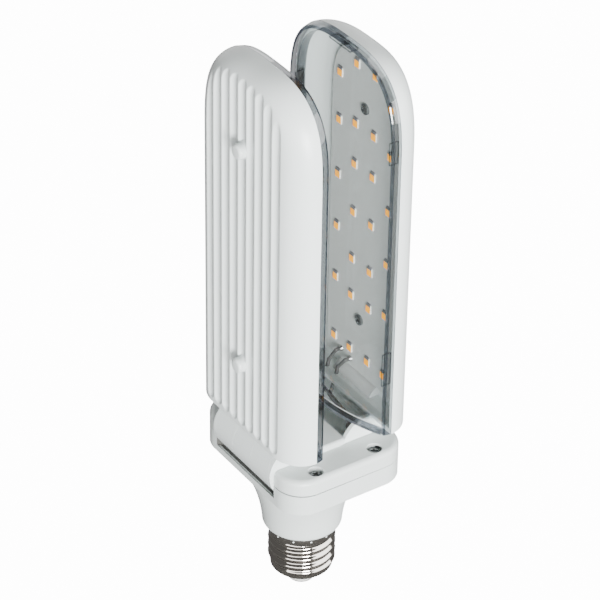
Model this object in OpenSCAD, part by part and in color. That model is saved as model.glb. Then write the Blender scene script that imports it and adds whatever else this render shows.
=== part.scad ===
// Folding two-leaf LED grow bulb with an E27 screw cap.
// Origin: centre of the bottom contact. Z runs up the cap axis and the leaves
// hinge about lines parallel to Y, one each side of the axis.

/* [Screw cap] */
// Radius of the plain skirt that the neck is crimped into
skirt_r = 13.2; // [13.0:0.05:13.4]
// Height of the plain skirt
skirt_h = 3.8; // [3.2:0.1:4.6]
// Radius over the rolled thread
crest_r = 13.15; // [12.9:0.05:13.2]
// Radius at the bottom of the thread
root_r = 12.15; // [11.9:0.05:12.3]
// Pitch of the rolled thread
pitch = 3.63; // [3.5:0.01:3.7]
// Height from the contact face to the bottom of the neck
cap_h = 27.9; // [27.4:0.1:28.6]
// Thickness of the cap's sheet metal
cap_wall = 0.4; // [0.3:0.05:0.5]
// Radius of the centre contact
contact_r = 5.1; // [4.8:0.1:5.5]

/* [Neck and hub] */
// Radius of the neck just above the cap
neck_r = 15.4; // [15:0.1:15.6]
// Rounding of the neck's lower edge
neck_edge = 2; // [1.4:0.1:2.2]
// Radius of the neck's hollow flare
flare_r = 64; // [63:0.5:66]
// Depth of the hub across the two hinges
hub_d = 52.6; // [51.6:0.2:54]
// Width of the hub along the hinges
hub_w = 65; // [63:0.5:68]
// Plan radius of the hub's corners
hub_corner_r = 11; // [9:0.5:12]
// Height of the hub's lower edge
hub_bottom = 58.7; // [58.2:0.1:59]
// Height of the line where cover and housing part
part_line = 67; // [66.1:0.1:68.1]
// Height of the two ears' flat tops
ear_top = 73.8; // [73.5:0.1:75]
// Fillet round the cover's top edge
edge_r = 2.2; // [1.4:0.1:2.6]
// Height of the raised block between the leaves
block_top = 76.1; // [75:0.1:77.1]
// Fillet at the block's two ends
block_edge = 1.2; // [0.8:0.1:1.6]
// Wall of the hub's mouldings
hub_wall = 1.8; // [1.5:0.1:2.1]
// Height of the sill under each drum
sill_z = 61.6; // [60.8:0.1:62.4]

/* [Hinges] */
// Distance of each hinge line from the cap axis
hinge_x = 16.4; // [16.1:0.1:16.6]
// Height of the hinge lines
hinge_z = 71.1; // [70.9:0.05:71.4]
// Radius of the drum at each leaf's foot
drum_r = 11.6; // [11.3:0.05:11.7]
// Length of the drum along the hinge
drum_w = 38.6; // [37:0.2:40]
// Gap between the drum and the hub round it
drum_gap = 0.3; // [0.2:0.05:0.4]
// Radius of the drum's trunnions
trunnion_r = 1.8; // [1.4:0.1:1.9]
// Length of each trunnion
trunnion_l = 4; // [3:0.5:6]
// Running clearance round a trunnion
trunnion_gap = 0.05; // [0.03:0.01:0.09]
// Wall of the drum
drum_wall = 1.7; // [1.3:0.1:2.2]

/* [Leaves] */
// Width of a leaf over its rim
leaf_w = 66.4; // [65:0.2:68]
// Height of a leaf's lower edge
leaf_bottom = 82.4; // [82.2:0.1:83]
// Height of a leaf's top
leaf_top = 234.8; // [228:0.2:252]
// Height of the arched end of a leaf
arch_h = 36; // [32:0.5:40]
// Squareness of the arch, 2 for an ellipse
arch_n = 3; // [2.4:0.1:3.4]
// Distance of the shell's rim from the cap axis
rim_x = 16.65; // [16.2:0.05:17]
// Distance of the back from the cap axis
back_x = 28; // [27.6:0.1:28.4]
// How far the dome draws in at the sides
side_draw = 12.8; // [12:0.1:13.4]
// How far the dome draws in at the top
top_draw = 7.1; // [6:0.1:8]
// Wall of the leaf's moulding
leaf_wall = 1.2; // [1:0.1:1.5]

/* [Flutes and pegs] */
// Number of flutes down the back
flutes = 9; // [7:2:9]
// Spacing of the flutes
flute_pitch = 5.33; // [5:0.05:5.4]
// Depth of a flute
flute_depth = 1.2; // [0.9:0.1:1.3]
// Width of the rib left between two flutes
rib_w = 0.6; // [0.4:0.1:1]
// Height of a flute's foot above the leaf's lower edge
flute_foot = 1.6; // [1.2:0.1:2.4]
// Radius of the screw pegs on the back
peg_r = 3; // [2.6:0.1:3.3]
// How far a peg stands off the back
peg_rise = 2.8; // [1:0.1:3.2]

/* [Window] */
// Distance of the window's front from the cap axis
window_x = 13.4; // [12.6:0.05:13.6]
// How much narrower the window's front is than the rim
window_draft = 1.4; // [0.8:0.1:2]
// Thickness of the clear plastic
window_wall = 1.5; // [1.2:0.1:1.8]
// How far the window's lip reaches into the shell
lip_depth = 2.2; // [1.6:0.1:3]
// Gap between the window's lip and the shell
lip_gap = 0.1; // [0.05:0.01:0.2]
// How far the lower edge of the window bows out
bow = 8.4; // [7:0.1:8.6]
// Height of the bowed lower edge
bow_h = 3.5; // [2.6:0.1:4]

/* [LED board] */
// Width of the board
board_w = 41.8; // [40:0.2:44]
// Thickness of the board
board_t = 1; // [0.8:0.1:1.6]
// Height of the board's lower edge
board_bottom = 87.6; // [86.6:0.1:88.6]
// Distance from the leaf's top to the board's top
board_drop = 9.4; // [8.5:0.1:11]
// Width of an LED
led_w = 2.8; // [2.4:0.1:3.2]
// Height of an LED
led_h = 3.5; // [2.8:0.1:3.6]
// Thickness of an LED
led_t = 0.75; // [0.6:0.05:0.9]
// Distance of the inner LED columns from the middle
led_inner_y = 5.7; // [5:0.1:7]
// Distance of the outer LED columns from the middle
led_outer_y = 16; // [14.5:0.1:16.4]
// Radius of a lead
lead_r = 0.75; // [0.6:0.05:0.9]

/* [Screws] */
// Distance of the cover screws from the middle across the hinges
screw_x = 13.2; // [12.6:0.1:13.8]
// Distance of the cover screws from the hub's ends
screw_inset = 4.9; // [4.6:0.1:5.3]
// Radius of a cover screw's head
screw_head_r = 2.3; // [2:0.1:2.5]
// Radius of a cover screw's shank
screw_shank_r = 1.1; // [0.9:0.05:1.3]
// Length of a cover screw below its head
screw_l = 8.5; // [7:0.5:10]
// Radius of the counterbore over a cover screw
counterbore_r = 3; // [2.8:0.1:3.2]
// Depth of the counterbore
counterbore_d = 2.6; // [2:0.1:3]
// Radius of a board screw's head
board_head_r = 2.5; // [2.2:0.1:2.8]
// Radius of a board screw's shank
board_shank_r = 1.1; // [0.9:0.05:1.3]
// Clearance round a screw's shank
screw_gap = 0.05; // [0.02:0.01:0.1]

/* [Driver] */
// Width of the driver board
driver_w = 21; // [19:0.5:22]
// Height of the driver board
driver_h = 25; // [20:0.5:26]
// Height of the driver board's lower edge
driver_bottom = 29.6; // [28.6:0.5:31.6]
// Thickness of the driver board
driver_t = 1.6; // [1.2:0.1:1.6]
// Radius of the smoothing capacitor
capacitor_r = 5; // [4:0.1:5.2]
// Length of the smoothing capacitor
capacitor_l = 8; // [6:0.5:8.5]

/* [Hidden] */
$fn = 64;
eps = 0.01;

white = "whitesmoke";
nickel = "silver";
clear = "lightsteelblue";

skirt_z = cap_h - skirt_h;
thread_low = 7.5;
rings = floor((skirt_z - thread_low) / pitch);
flare_z = 24.6;
flare_x = neck_r + sqrt(flare_r * flare_r - (cap_h - flare_z) * (cap_h - flare_z));
neck_edge_x = flare_x - sqrt(flare_r * flare_r - pow(cap_h + neck_edge - flare_z, 2)) - neck_edge + 0.02;
spigot_r = skirt_r - cap_wall - 0.05;
spigot_bottom = 13.6;
spigot_wall = 1.5;
lip_low = thread_low - 2.05;
hole_r = root_r - 3.4;
rivet_top = thread_low + 2.4;
pocket_r = drum_r + drum_gap;
pocket_w = drum_w + 2 * drum_gap;
block_x = 5.6;
outer_screw_z = ear_top - counterbore_d;
trunnion_reach = drum_w / 2 + trunnion_l;
screw_y = hub_w / 2 - screw_inset;
post_r = screw_shank_r + 1.5;
saddle_w = 2 * trunnion_r + 2.4;
saddle_t = 2;
saddle_y = pocket_w / 2 + hub_wall + 0.2 + saddle_t / 2;

flute_w = flute_pitch - rib_w;
flute_r = (flute_w * flute_w / 4 + flute_depth * flute_depth) / (2 * flute_depth);
inner_x = back_x - flute_depth - leaf_wall;
board_x = inner_x - board_t;
rim_wall = 1.6;
foot_z = leaf_bottom + window_wall;
board_top = leaf_top - board_drop;
arch_steps = 28;
dome_steps = 6;
// Heights up the leaf as shares of its height
leaf_h = leaf_top - leaf_bottom;
led_inner_z = [for (s = [0.897, 0.735, 0.623, 0.488, 0.354, 0.247, 0.089]) leaf_bottom + s * leaf_h];
led_outer_z = [for (s = [0.842, 0.713, 0.561, 0.413, 0.265, 0.089]) leaf_bottom + s * leaf_h];
peg_z = [for (s = [0.192, 0.791]) leaf_bottom + s * leaf_h];
board_screw_head = 1.3;
board_screw_l = 4.8;
neck_x = hinge_x + 7.6;
rail_w = 4.4;
rail_grip = 0.8;
guard_w = 24;
solder_at = [[11.3, board_bottom + 4.5], [5.3, board_bottom + 3.2]];
solder_h = 0.9;
lead_y = [14, 8];
sleeve_r = 1.8;
sleeve_from = [hinge_x - 2.2, -drum_w / 2 + 7.7, hinge_z + 4.5];

// Half outline of an arched leaf as points: width w, from z0 up to z1, the
// arch being a superellipse of height h
function arch(w, z0, z1, h) = concat([[-w / 2, z0]],
    [for (i = [0:arch_steps]) let (a = 180 * i / arch_steps, c = -cos(a), s = sin(a))
        [sign(c) * w / 2 * pow(abs(c), 2 / arch_n), z1 - h + h * pow(s, 2 / arch_n)]],
    [[w / 2, z0]]);

// Upright plate with an arched outline, from x0 to x1
module arched_plate(x0, x1, w, z0, z1, h) {
    translate([x0, 0, 0])
        rotate([90, 0, 90])
            linear_extrude(x1 - x0)
                polygon(arch(w, z0, z1, h));
}

// How much of the outer dome's draw a dome has that reaches back to x
function draw_share(x) = (x - rim_x) / (back_x - rim_x);

// Domed body of a leaf, drawn in by a wall on every side, from x_front back
module dome(wall, x_front, x_back, z0) {
    share = draw_share(x_back);
    hull() {
        arched_plate(x_front, rim_x + eps, leaf_w - 2 * wall, z0, leaf_top - wall, arch_h - wall);
        for (i = [1:dome_steps]) {
            a = 90 * i / dome_steps;
            draw = share * (1 - cos(a));
            x = rim_x + (x_back - rim_x) * sin(a);
            arched_plate(x - eps, x, leaf_w - 2 * wall - 2 * side_draw * draw,
                z0, leaf_top - wall - top_draw * draw, arch_h - wall - top_draw * draw);
        }
    }
}

// Rectangle with rounded corners, centred
module rounded_rect(d, w, r) {
    union() {
        square([d - 2 * r, w], center = true);
        square([d, w - 2 * r], center = true);
        for (x = [-1, 1], y = [-1, 1])
            translate([x * (d / 2 - r), y * (w / 2 - r)])
                circle(r);
    }
}

// Outline of height h from the middle out to w, its top corner rounded by f
module rounded_edge(w, h, f) {
    square([w, h - f]);
    square([w - f, h]);
    translate([w - f, h - f])
        circle(f);
}

// Slab with rounded corners and a fillet round its top edge
module filleted_slab(d, w, r, z0, z1, f) {
    translate([0, 0, z0]) {
        linear_extrude(z1 - z0)
            square([d - 2 * r, w - 2 * r], center = true);
        for (a = [0, 180])
            rotate([0, 0, a]) {
                translate([d / 2 - r, w / 2 - r, 0])
                    rotate([90, 0, 0])
                        linear_extrude(w - 2 * r)
                            rounded_edge(r, z1 - z0, f);
                translate([-d / 2 + r, w / 2 - r, 0])
                    rotate([90, 0, 90])
                        linear_extrude(d - 2 * r)
                            rounded_edge(r, z1 - z0, f);
                for (s = [0, 1])
                    mirror([s, 0, 0])
                        translate([d / 2 - r, w / 2 - r, 0])
                            rotate_extrude(angle = 90)
                                rounded_edge(r, z1 - z0, f);
            }
    }
}

// Cylinder along Y, centred on a hinge line
module hinge_rod(r, l) {
    translate([hinge_x, 0, hinge_z])
        rotate([90, 0, 0])
            cylinder(r = r, h = l, center = true);
}

// Both hinge pockets, for cutting
module pockets() {
    for (a = [0, 180])
        rotate([0, 0, a])
            hinge_rod(pocket_r, pocket_w);
}

// Round wire along a list of points
module wire(points, r) {
    for (i = [0:len(points) - 2]) {
        p = points[i];
        d = points[i + 1] - p;
        l = norm(d);
        translate(p)
            rotate([0, acos(d[2] / l), atan2(d[1], d[0])])
                cylinder(r = r, h = l, $fn = 24);
        if (i > 0)
            translate(p)
                sphere(1.1 * r, $fn = 24);
    }
}

module cap_shell() {
    color(nickel)
        difference() {
            union() {
                translate([0, 0, skirt_z])
                    cylinder(r = skirt_r, h = skirt_h);
                translate([0, 0, thread_low])
                    cylinder(r = root_r, h = skirt_z - thread_low);
                translate([0, 0, lip_low])
                    cylinder(r1 = root_r - 2, r2 = root_r, h = thread_low - lip_low);
                for (i = [0:rings - 1])
                    translate([0, 0, skirt_z - pitch * (i + 0.5)])
                        rotate_extrude()
                            translate([crest_r - pitch / 3, 0])
                                circle(pitch / 3);
            }
            translate([0, 0, skirt_z + cap_wall])
                cylinder(r = skirt_r - cap_wall, h = skirt_h);
            translate([0, 0, thread_low + cap_wall - eps])
                cylinder(r = root_r - cap_wall, h = skirt_z);
            translate([0, 0, lip_low + cap_wall])
                cylinder(r1 = root_r - 2 - cap_wall, r2 = root_r - cap_wall, h = thread_low - lip_low);
            cylinder(r = hole_r, h = thread_low);
        }
}

module cap_insulator() {
    color("gainsboro")
        difference() {
            union() {
                translate([0, 0, 1])
                    cylinder(r1 = contact_r + 0.6, r2 = hole_r - 0.05, h = lip_low - 1);
                translate([0, 0, lip_low - eps])
                    cylinder(r = hole_r - 0.05, h = cap_wall + 2 * eps);
                translate([0, 0, lip_low + cap_wall])
                    cylinder(r1 = root_r - 2 - cap_wall, r2 = root_r - cap_wall - 0.05,
                        h = thread_low - lip_low);
            }
            cylinder(r = 1.5, h = thread_low + 2);
        }
}

module centre_contact() {
    color(nickel) {
        cylinder(r = contact_r, h = 1);
        cylinder(r = 1.5, h = rivet_top);
    }
}

// Outside of the neck and hub, below the parting line
module housing_body() {
    rotate_extrude()
        difference() {
            translate([0, cap_h])
                square([hub_d / 2 - 0.05, hub_bottom - cap_h + eps]);
            translate([flare_x, flare_z])
                circle(flare_r, $fn = 128);
            translate([neck_edge_x, cap_h - 1])
                difference() {
                    square([neck_edge + 1, neck_edge + 1]);
                    translate([0, neck_edge + 1])
                        circle(neck_edge);
                }
        }
    translate([0, 0, hub_bottom])
        linear_extrude(part_line - hub_bottom)
            rounded_rect(hub_d, hub_w, hub_corner_r);
    translate([0, 0, skirt_z + cap_wall + 0.1])
        cylinder(r = spigot_r, h = skirt_h);
    translate([0, 0, spigot_bottom])
        cylinder(r = root_r - cap_wall - 0.1, h = cap_h - spigot_bottom);
}

// Four copies, one in each quarter of the hub
module quarters() {
    for (x = [0, 1], y = [0, 1])
        mirror([x, 0, 0])
            mirror([0, y, 0])
                children();
}

// Room inside the neck, with two rails left standing for the driver board
module neck_room() {
    low = cap_h + hub_wall;
    difference() {
        translate([0, 0, low])
            rotate_extrude()
                difference() {
                    square([hub_d / 2 - 2 * hub_wall, hub_bottom - low - hub_wall]);
                    translate([flare_x, flare_z - low])
                        circle(flare_r + hub_wall, $fn = 128);
                }
        for (s = [0, 1])
            mirror([0, s, 0])
                translate([-rail_w / 2, driver_w / 2 - rail_grip, low - 1])
                    cube([rail_w, hub_d / 2, driver_bottom + 0.8 * driver_h - low]);
    }
}

module lower_housing() {
    floor_z = hub_bottom + hub_wall;
    spigot_bore = root_r - cap_wall - 0.1 - spigot_wall;
    post_h = part_line - floor_z;
    color(white) {
        difference() {
            housing_body();
            neck_room();
            translate([0, 0, spigot_bottom - 1])
                cylinder(r = spigot_bore, h = cap_h + hub_wall - spigot_bottom + 1 + eps);
            translate([-driver_t / 2 - 0.05, -driver_w / 2 - 0.05, driver_bottom])
                cube([driver_t + 0.1, driver_w + 0.1, driver_h]);
            // pockets for the drums, and the open way between them
            pockets();
            translate([-hub_d / 2 + hub_wall, -pocket_w / 2, floor_z])
                cube([hub_d - 2 * hub_wall, pocket_w, part_line]);
            for (s = [-1, 1])
                translate([s * hub_d / 2 - 4, -pocket_w / 2, sill_z])
                    cube([8, pocket_w, part_line]);
            translate([-8, -12, hub_bottom - 5])
                cube([16, 24, 10]);
            // hollow ears
            translate([0, 0, floor_z])
                linear_extrude(part_line)
                    difference() {
                        rounded_rect(hub_d - 2 * hub_wall, hub_w - 2 * hub_wall, hub_corner_r - hub_wall);
                        square([hub_d, pocket_w + 2 * hub_wall], center = true);
                    }
        }
        // screw posts
        quarters()
            translate([screw_x, screw_y, floor_z - eps])
                difference() {
                    cylinder(r = post_r, h = post_h + eps);
                    translate([0, 0, 1])
                        cylinder(r = screw_shank_r + screw_gap, h = post_h);
                }
        // saddles under the trunnions
        quarters()
            difference() {
                translate([hinge_x - saddle_w / 2, saddle_y - saddle_t / 2, floor_z - eps])
                    cube([saddle_w, saddle_t, hinge_z - floor_z]);
                translate([hinge_x, saddle_y, hinge_z])
                    rotate([90, 0, 0])
                        cylinder(r = trunnion_r + trunnion_gap, h = 2 * saddle_t, center = true);
            }
    }
}

module top_cover() {
    color(white)
        difference() {
            union() {
                filleted_slab(hub_d, hub_w, hub_corner_r, part_line, ear_top, edge_r);
                for (a = [0, 180])
                    rotate([0, 0, a])
                        translate([-block_x, 0, part_line])
                            rotate([90, 0, 90])
                                linear_extrude(2 * block_x)
                                    rounded_edge(pocket_w / 2, block_top - part_line, block_edge);
            }
            pockets();
            // clear way over each drum, beside the block
            for (s = [-1, 1])
                translate([s > 0 ? block_x : -hub_d / 2 - 1, -pocket_w / 2, part_line - 1])
                    cube([hub_d / 2 + 1 - block_x, pocket_w, ear_top]);
            quarters() {
                // screws
                translate([screw_x, screw_y, outer_screw_z])
                    cylinder(r = counterbore_r, h = counterbore_d + 1);
                translate([screw_x, screw_y, part_line - 1])
                    cylinder(r = screw_shank_r + screw_gap + 0.2, h = ear_top);
                // slots that drop over the trunnions and the saddles
                translate([hinge_x, trunnion_reach, hinge_z])
                    rotate([90, 0, 0])
                        cylinder(r = trunnion_r + trunnion_gap, h = 2 * trunnion_l + 1, center = true);
                translate([hinge_x - saddle_w / 2 - 0.1, pocket_w / 2 - 1, part_line - 1])
                    cube([saddle_w + 0.2, saddle_y + saddle_t - pocket_w / 2, hinge_z - part_line + 1]);
            }
            // hollow block
            translate([-block_x + 3, -pocket_w / 2 + 2, part_line - 1])
                cube([2 * block_x - 6, pocket_w - 4, block_top - part_line - 0.8]);
        }
}

module cover_screws() {
    color("dimgray")
        quarters() {
            translate([screw_x, screw_y, outer_screw_z])
                cylinder(r = screw_head_r, h = 1.5);
            translate([screw_x, screw_y, outer_screw_z - screw_l])
                cylinder(r = screw_shank_r, h = screw_l);
        }
}

module driver_board() {
    color("darkgreen")
        translate([-driver_t / 2, -driver_w / 2, driver_bottom])
            cube([driver_t, driver_w, driver_h]);
}

module driver_capacitor() {
    color("black")
        translate([driver_t / 2, 2.5, driver_bottom + driver_h - 7])
            rotate([0, 90, 0])
                cylinder(r = capacitor_r, h = capacitor_l);
}

module driver_inductor() {
    color("saddlebrown")
        translate([-driver_t / 2, 2, driver_bottom + 14])
            rotate([0, -90, 0]) {
                cylinder(r = 4.5, h = 1.2);
                cylinder(r = 3.4, h = 8);
                translate([0, 0, 6.8])
                    cylinder(r = 4.5, h = 1.2);
            }
}

module driver_bridge() {
    color("black")
        translate([-driver_t / 2 - 2.4, -3.5, driver_bottom + 2.5])
            cube([2.4, 7, 4.8]);
}

module driver_fuse() {
    color("steelblue")
        translate([driver_t / 2, -4, driver_bottom + 2.6])
            rotate([0, 90, 0])
                cylinder(r = 1.9, h = 7);
}

module input_leads() {
    color("firebrick") {
        wire([[0, 0, rivet_top], [0, 0, spigot_bottom + 2], [0, -4 * lead_r, skirt_z],
            [0, -4 * lead_r, driver_bottom - 0.05]], lead_r);
        wire([[root_r - cap_wall - 0.72 * lead_r, 0, thread_low + 3],
            [root_r / 2, 4 * lead_r, spigot_bottom + 1],
            [0, 6.6 * lead_r, skirt_z], [0, 6.6 * lead_r, driver_bottom - 0.05]],
            lead_r);
    }
}

// The right leaf's parts; the left leaf is the same mouldings turned about Z
module shell() {
    slot_w = drum_w - 2 * drum_wall;
    color(white)
        difference() {
            union() {
                difference() {
                    union() {
                        difference() {
                            dome(0, rim_x, back_x, leaf_bottom);
                            for (i = [-(flutes - 1) / 2:(flutes - 1) / 2])
                                flute(i * flute_pitch);
                        }
                        for (z = peg_z)
                            translate([inner_x - 1, 0, z])
                                rotate([0, 90, 0])
                                    cylinder(r = peg_r, h = back_x + peg_rise - inner_x + 1);
                    }
                    dome(rim_wall, rim_x - 1, inner_x, foot_z);
                }
                hinge_rod(drum_r, drum_w);
                hinge_rod(trunnion_r, 2 * trunnion_reach);
                // neck between the drum and the leaf's floor
                translate([window_x, -drum_w / 2, hinge_z + drum_r / 2])
                    cube([neck_x - window_x, drum_w, foot_z - hinge_z - drum_r / 2]);
            }
            // hollow drum, open to the leaf and towards the hub's middle
            hinge_rod(drum_r - drum_wall, slot_w);
            translate([rim_x - 0.6, -slot_w / 2, hinge_z])
                cube([5.4, slot_w, drum_r + 4]);
            translate([hinge_x - drum_r, -6, hinge_z - drum_r])
                cube([drum_r, 12, drum_r - 3]);
            translate([0, -slot_w / 2, hinge_z + 2])
                cube([hinge_x, slot_w, drum_r]);
            // room for the window's foot
            translate([0, -drum_w / 2 - 1, leaf_bottom - 0.3])
                cube([rim_x, drum_w + 2, 6]);
            translate([rim_x - 1, -drum_w / 2 - 1, foot_z])
                cube([inner_x - rim_x, drum_w + 2, 2]);
            // screw holes in the pegs
            for (z = peg_z)
                translate([inner_x - 1, 0, z])
                    rotate([0, 90, 0])
                        cylinder(r = board_shank_r + screw_gap, h = board_screw_l);
        }
}

// One hollow flute, for cutting: round at its foot, running out over the top
module flute(y) {
    translate([back_x - flute_depth + flute_r, y, leaf_bottom + flute_foot + flute_w / 2]) {
        cylinder(r = flute_r, h = leaf_h);
        sphere(flute_r);
    }
}

module window() {
    front_w = leaf_w - window_draft;
    front_top = leaf_top - window_draft / 2;
    // size of the lip at its deep end, inside the drawn-in shell
    a = asin(lip_depth / (inner_x - rim_x));
    draw = draw_share(inner_x) * (1 - cos(a));
    side = rim_wall + lip_gap + side_draw * draw;
    over = rim_wall + lip_gap + top_draw * draw;
    lip_w = leaf_w - 2 * side;
    chord = front_w - 0.8;
    bow_r = (chord * chord / 4 + bow * bow) / (2 * bow);
    color(clear, 0.4) {
        difference() {
            union() {
                hull() {
                    arched_plate(window_x, window_x + eps, front_w, leaf_bottom,
                        front_top, arch_h - window_draft / 2);
                    arched_plate(rim_x - eps, rim_x, leaf_w, leaf_bottom, leaf_top, arch_h);
                }
                arched_plate(rim_x - 1, rim_x + lip_depth, lip_w, foot_z + lip_gap,
                    leaf_top - over, arch_h - over);
            }
            arched_plate(window_x + window_wall, rim_x + lip_depth + 1, lip_w - 2.2, foot_z + lip_gap + 1,
                leaf_top - over - 1.1, arch_h - over - 1.1);
        }
        // bowed lower edge with its ledge, an arc from side to side
        difference() {
            translate([0, 0, leaf_bottom])
                linear_extrude(bow_h)
                    intersection() {
                        translate([window_x - bow + bow_r, 0])
                            circle(bow_r, $fn = 160);
                        translate([0, -chord / 2])
                            square([window_x + 1, chord]);
                    }
            translate([0, 0, foot_z])
                linear_extrude(bow_h)
                    intersection() {
                        translate([window_x - bow + bow_r + window_wall, 0])
                            circle(bow_r, $fn = 160);
                        translate([0, -chord / 2])
                            square([window_x, chord]);
                    }
        }
    }
}

module led_board() {
    color("darkgray")
        difference() {
            arched_plate(board_x, inner_x, board_w, board_bottom, board_top, arch_h - 10);
            for (z = peg_z)
                translate([board_x - 1, 0, z])
                    rotate([0, 90, 0])
                        cylinder(r = board_shank_r + 0.3, h = board_t + 2);
        }
}

module leds() {
    color("gold") {
        for (s = [-1, 1], z = led_inner_z)
            translate([board_x - led_t, s * led_inner_y - led_w / 2, z - led_h / 2])
                cube([led_t, led_w, led_h]);
        for (s = [-1, 1], z = led_outer_z)
            translate([board_x - led_t, s * led_outer_y - led_w / 2, z - led_h / 2])
                cube([led_t, led_w, led_h]);
    }
}

module board_screws() {
    color("dimgray")
        for (z = peg_z)
            translate([board_x, 0, z])
                rotate([0, 90, 0]) {
                    translate([0, 0, -board_screw_head])
                        cylinder(r = board_head_r, h = board_screw_head);
                    cylinder(r = board_shank_r, h = board_screw_l);
                }
}

// Curved plate that keeps the leads off the window
module wire_guard() {
    bend_r = 9;
    bend_x = 29.5;
    bend_z = leaf_bottom - 2.2;
    plate_t = 1.2;
    color(white)
        difference() {
            intersection() {
                translate([bend_x, 0, bend_z])
                    rotate([90, 0, 0])
                        cylinder(r = bend_r, h = guard_w, center = true);
                translate([0, -guard_w / 2, foot_z])
                    cube([inner_x, guard_w, board_bottom - foot_z]);
            }
            translate([bend_x, 0, bend_z])
                rotate([90, 0, 0])
                    cylinder(r = bend_r - plate_t, h = guard_w - 2 * plate_t, center = true);
        }
}

module solder() {
    color("silver")
        for (p = solder_at)
            translate([board_x, p[0], p[1]])
                rotate([0, -90, 0])
                    cylinder(r1 = 1.3, r2 = 0.9, h = solder_h);
}

// Two leads that run down the leaf's foot and meet at the sleeve in the drum
module leads() {
    color("gray")
        for (i = [0, 1]) {
            p = solder_at[i];
            y = lead_y[i];
            wire([[board_x - solder_h, p[0], p[1]], [board_x - 2.4, p[0], p[1]],
                [rim_x + 4.2, y, board_bottom - 1], [rim_x + 3.2, y, leaf_bottom],
                [hinge_x + 1, y, sleeve_from[2] + (1 - 2 * i) * lead_r],
                sleeve_from + [0, 0, (1 - 2 * i) * 1.1 * lead_r]], lead_r);
        }
}

module lead_sleeve() {
    color("gray")
        wire([sleeve_from + [-0.48, -0.55, 0.18], [hinge_x - 5.4, -drum_w / 2 + 4.1, hinge_z + 5.7],
            [hinge_x - 6, -drum_w / 2 + 3.8, hinge_z - 1]], sleeve_r);
}

module turned() {
    rotate([0, 0, 180])
        children();
}

module left_shell() { turned() shell(); }
module left_window() { turned() window(); }
module left_led_board() { turned() led_board(); }
module left_leds() { turned() leds(); }
module left_board_screws() { turned() board_screws(); }
module left_wire_guard() { turned() wire_guard(); }
module left_solder() { turned() solder(); }
module left_leads() { turned() leads(); }
module left_sleeve() { turned() lead_sleeve(); }
module right_shell() { shell(); }
module right_window() { window(); }
module right_led_board() { led_board(); }
module right_leds() { leds(); }
module right_board_screws() { board_screws(); }
module right_wire_guard() { wire_guard(); }
module right_solder() { solder(); }
module right_leads() { leads(); }
module right_sleeve() { lead_sleeve(); }

cap_shell();
cap_insulator();
centre_contact();
lower_housing();
top_cover();
cover_screws();
driver_board();
driver_capacitor();
driver_inductor();
driver_bridge();
driver_fuse();
input_leads();
left_shell();
left_window();
left_led_board();
left_leds();
left_board_screws();
left_wire_guard();
left_solder();
left_leads();
left_sleeve();
right_shell();
right_window();
right_led_board();
right_leds();
right_board_screws();
right_wire_guard();
right_solder();
right_leads();
right_sleeve();
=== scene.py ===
# Folding two-leaf grow bulb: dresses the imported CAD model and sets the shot.
# Numbers in the dictionaries are millimetres unless a name says otherwise.
import math
import bpy
import bmesh
import numpy as np
from mathutils import Matrix


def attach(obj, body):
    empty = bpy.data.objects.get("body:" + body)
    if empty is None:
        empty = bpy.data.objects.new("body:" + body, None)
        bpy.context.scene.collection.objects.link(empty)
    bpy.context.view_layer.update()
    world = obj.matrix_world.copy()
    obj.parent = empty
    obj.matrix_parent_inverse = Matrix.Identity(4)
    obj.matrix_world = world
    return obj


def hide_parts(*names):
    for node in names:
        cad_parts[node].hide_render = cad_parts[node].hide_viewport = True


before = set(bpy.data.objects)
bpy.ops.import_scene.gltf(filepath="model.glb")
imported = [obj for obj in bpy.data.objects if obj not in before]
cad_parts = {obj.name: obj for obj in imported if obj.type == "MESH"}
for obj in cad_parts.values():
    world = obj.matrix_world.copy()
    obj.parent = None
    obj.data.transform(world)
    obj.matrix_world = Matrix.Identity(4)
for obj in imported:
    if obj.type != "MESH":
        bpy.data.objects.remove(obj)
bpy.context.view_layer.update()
mm = 0.001
print("loaded", len(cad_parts), "nodes")


def meshPoints(mesh):
    # a mesh's points in millimetres
    points = np.empty(3 * len(mesh.vertices))
    mesh.vertices.foreach_get("co", points)
    return points.reshape(-1, 3) / mm


def nodeBox(node):
    # lowest and highest corner of a CAD node, to the nearest thousandth of a millimetre
    points = meshPoints(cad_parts[node].data)
    return points.min(axis=0).round(3), points.max(axis=0).round(3)


# corners that the dictionaries take sizes and places from
shellHigh = nodeBox("right_shell")[1]
windowLow = nodeBox("right_window")[0]
boardLow = nodeBox("right_led_board")[0]
capLow, capHigh = nodeBox("cap_shell")
coverLow, coverHigh = nodeBox("top_cover")


def quads(rows, cols, loop=False):
    # grid of rows x cols points to quads; loop joins the last column to the first
    r = np.arange(rows - 1)[:, None] * cols
    c = np.arange(cols if loop else cols - 1)[None, :]
    d = (c + 1) % cols
    f = np.stack([r + c, r + d, r + cols + d, r + cols + c], axis=-1)
    return f.reshape(-1, 4).tolist()


def joined(parts):
    # several (points, faces) pairs to one pair
    points, faces, first = [], [], 0
    for p, f in parts:
        p = np.asarray(p, float).reshape(-1, 3)
        points.append(p)
        faces += [[i + first for i in face] for face in f]
        first += len(p)
    return np.concatenate(points), faces


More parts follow.
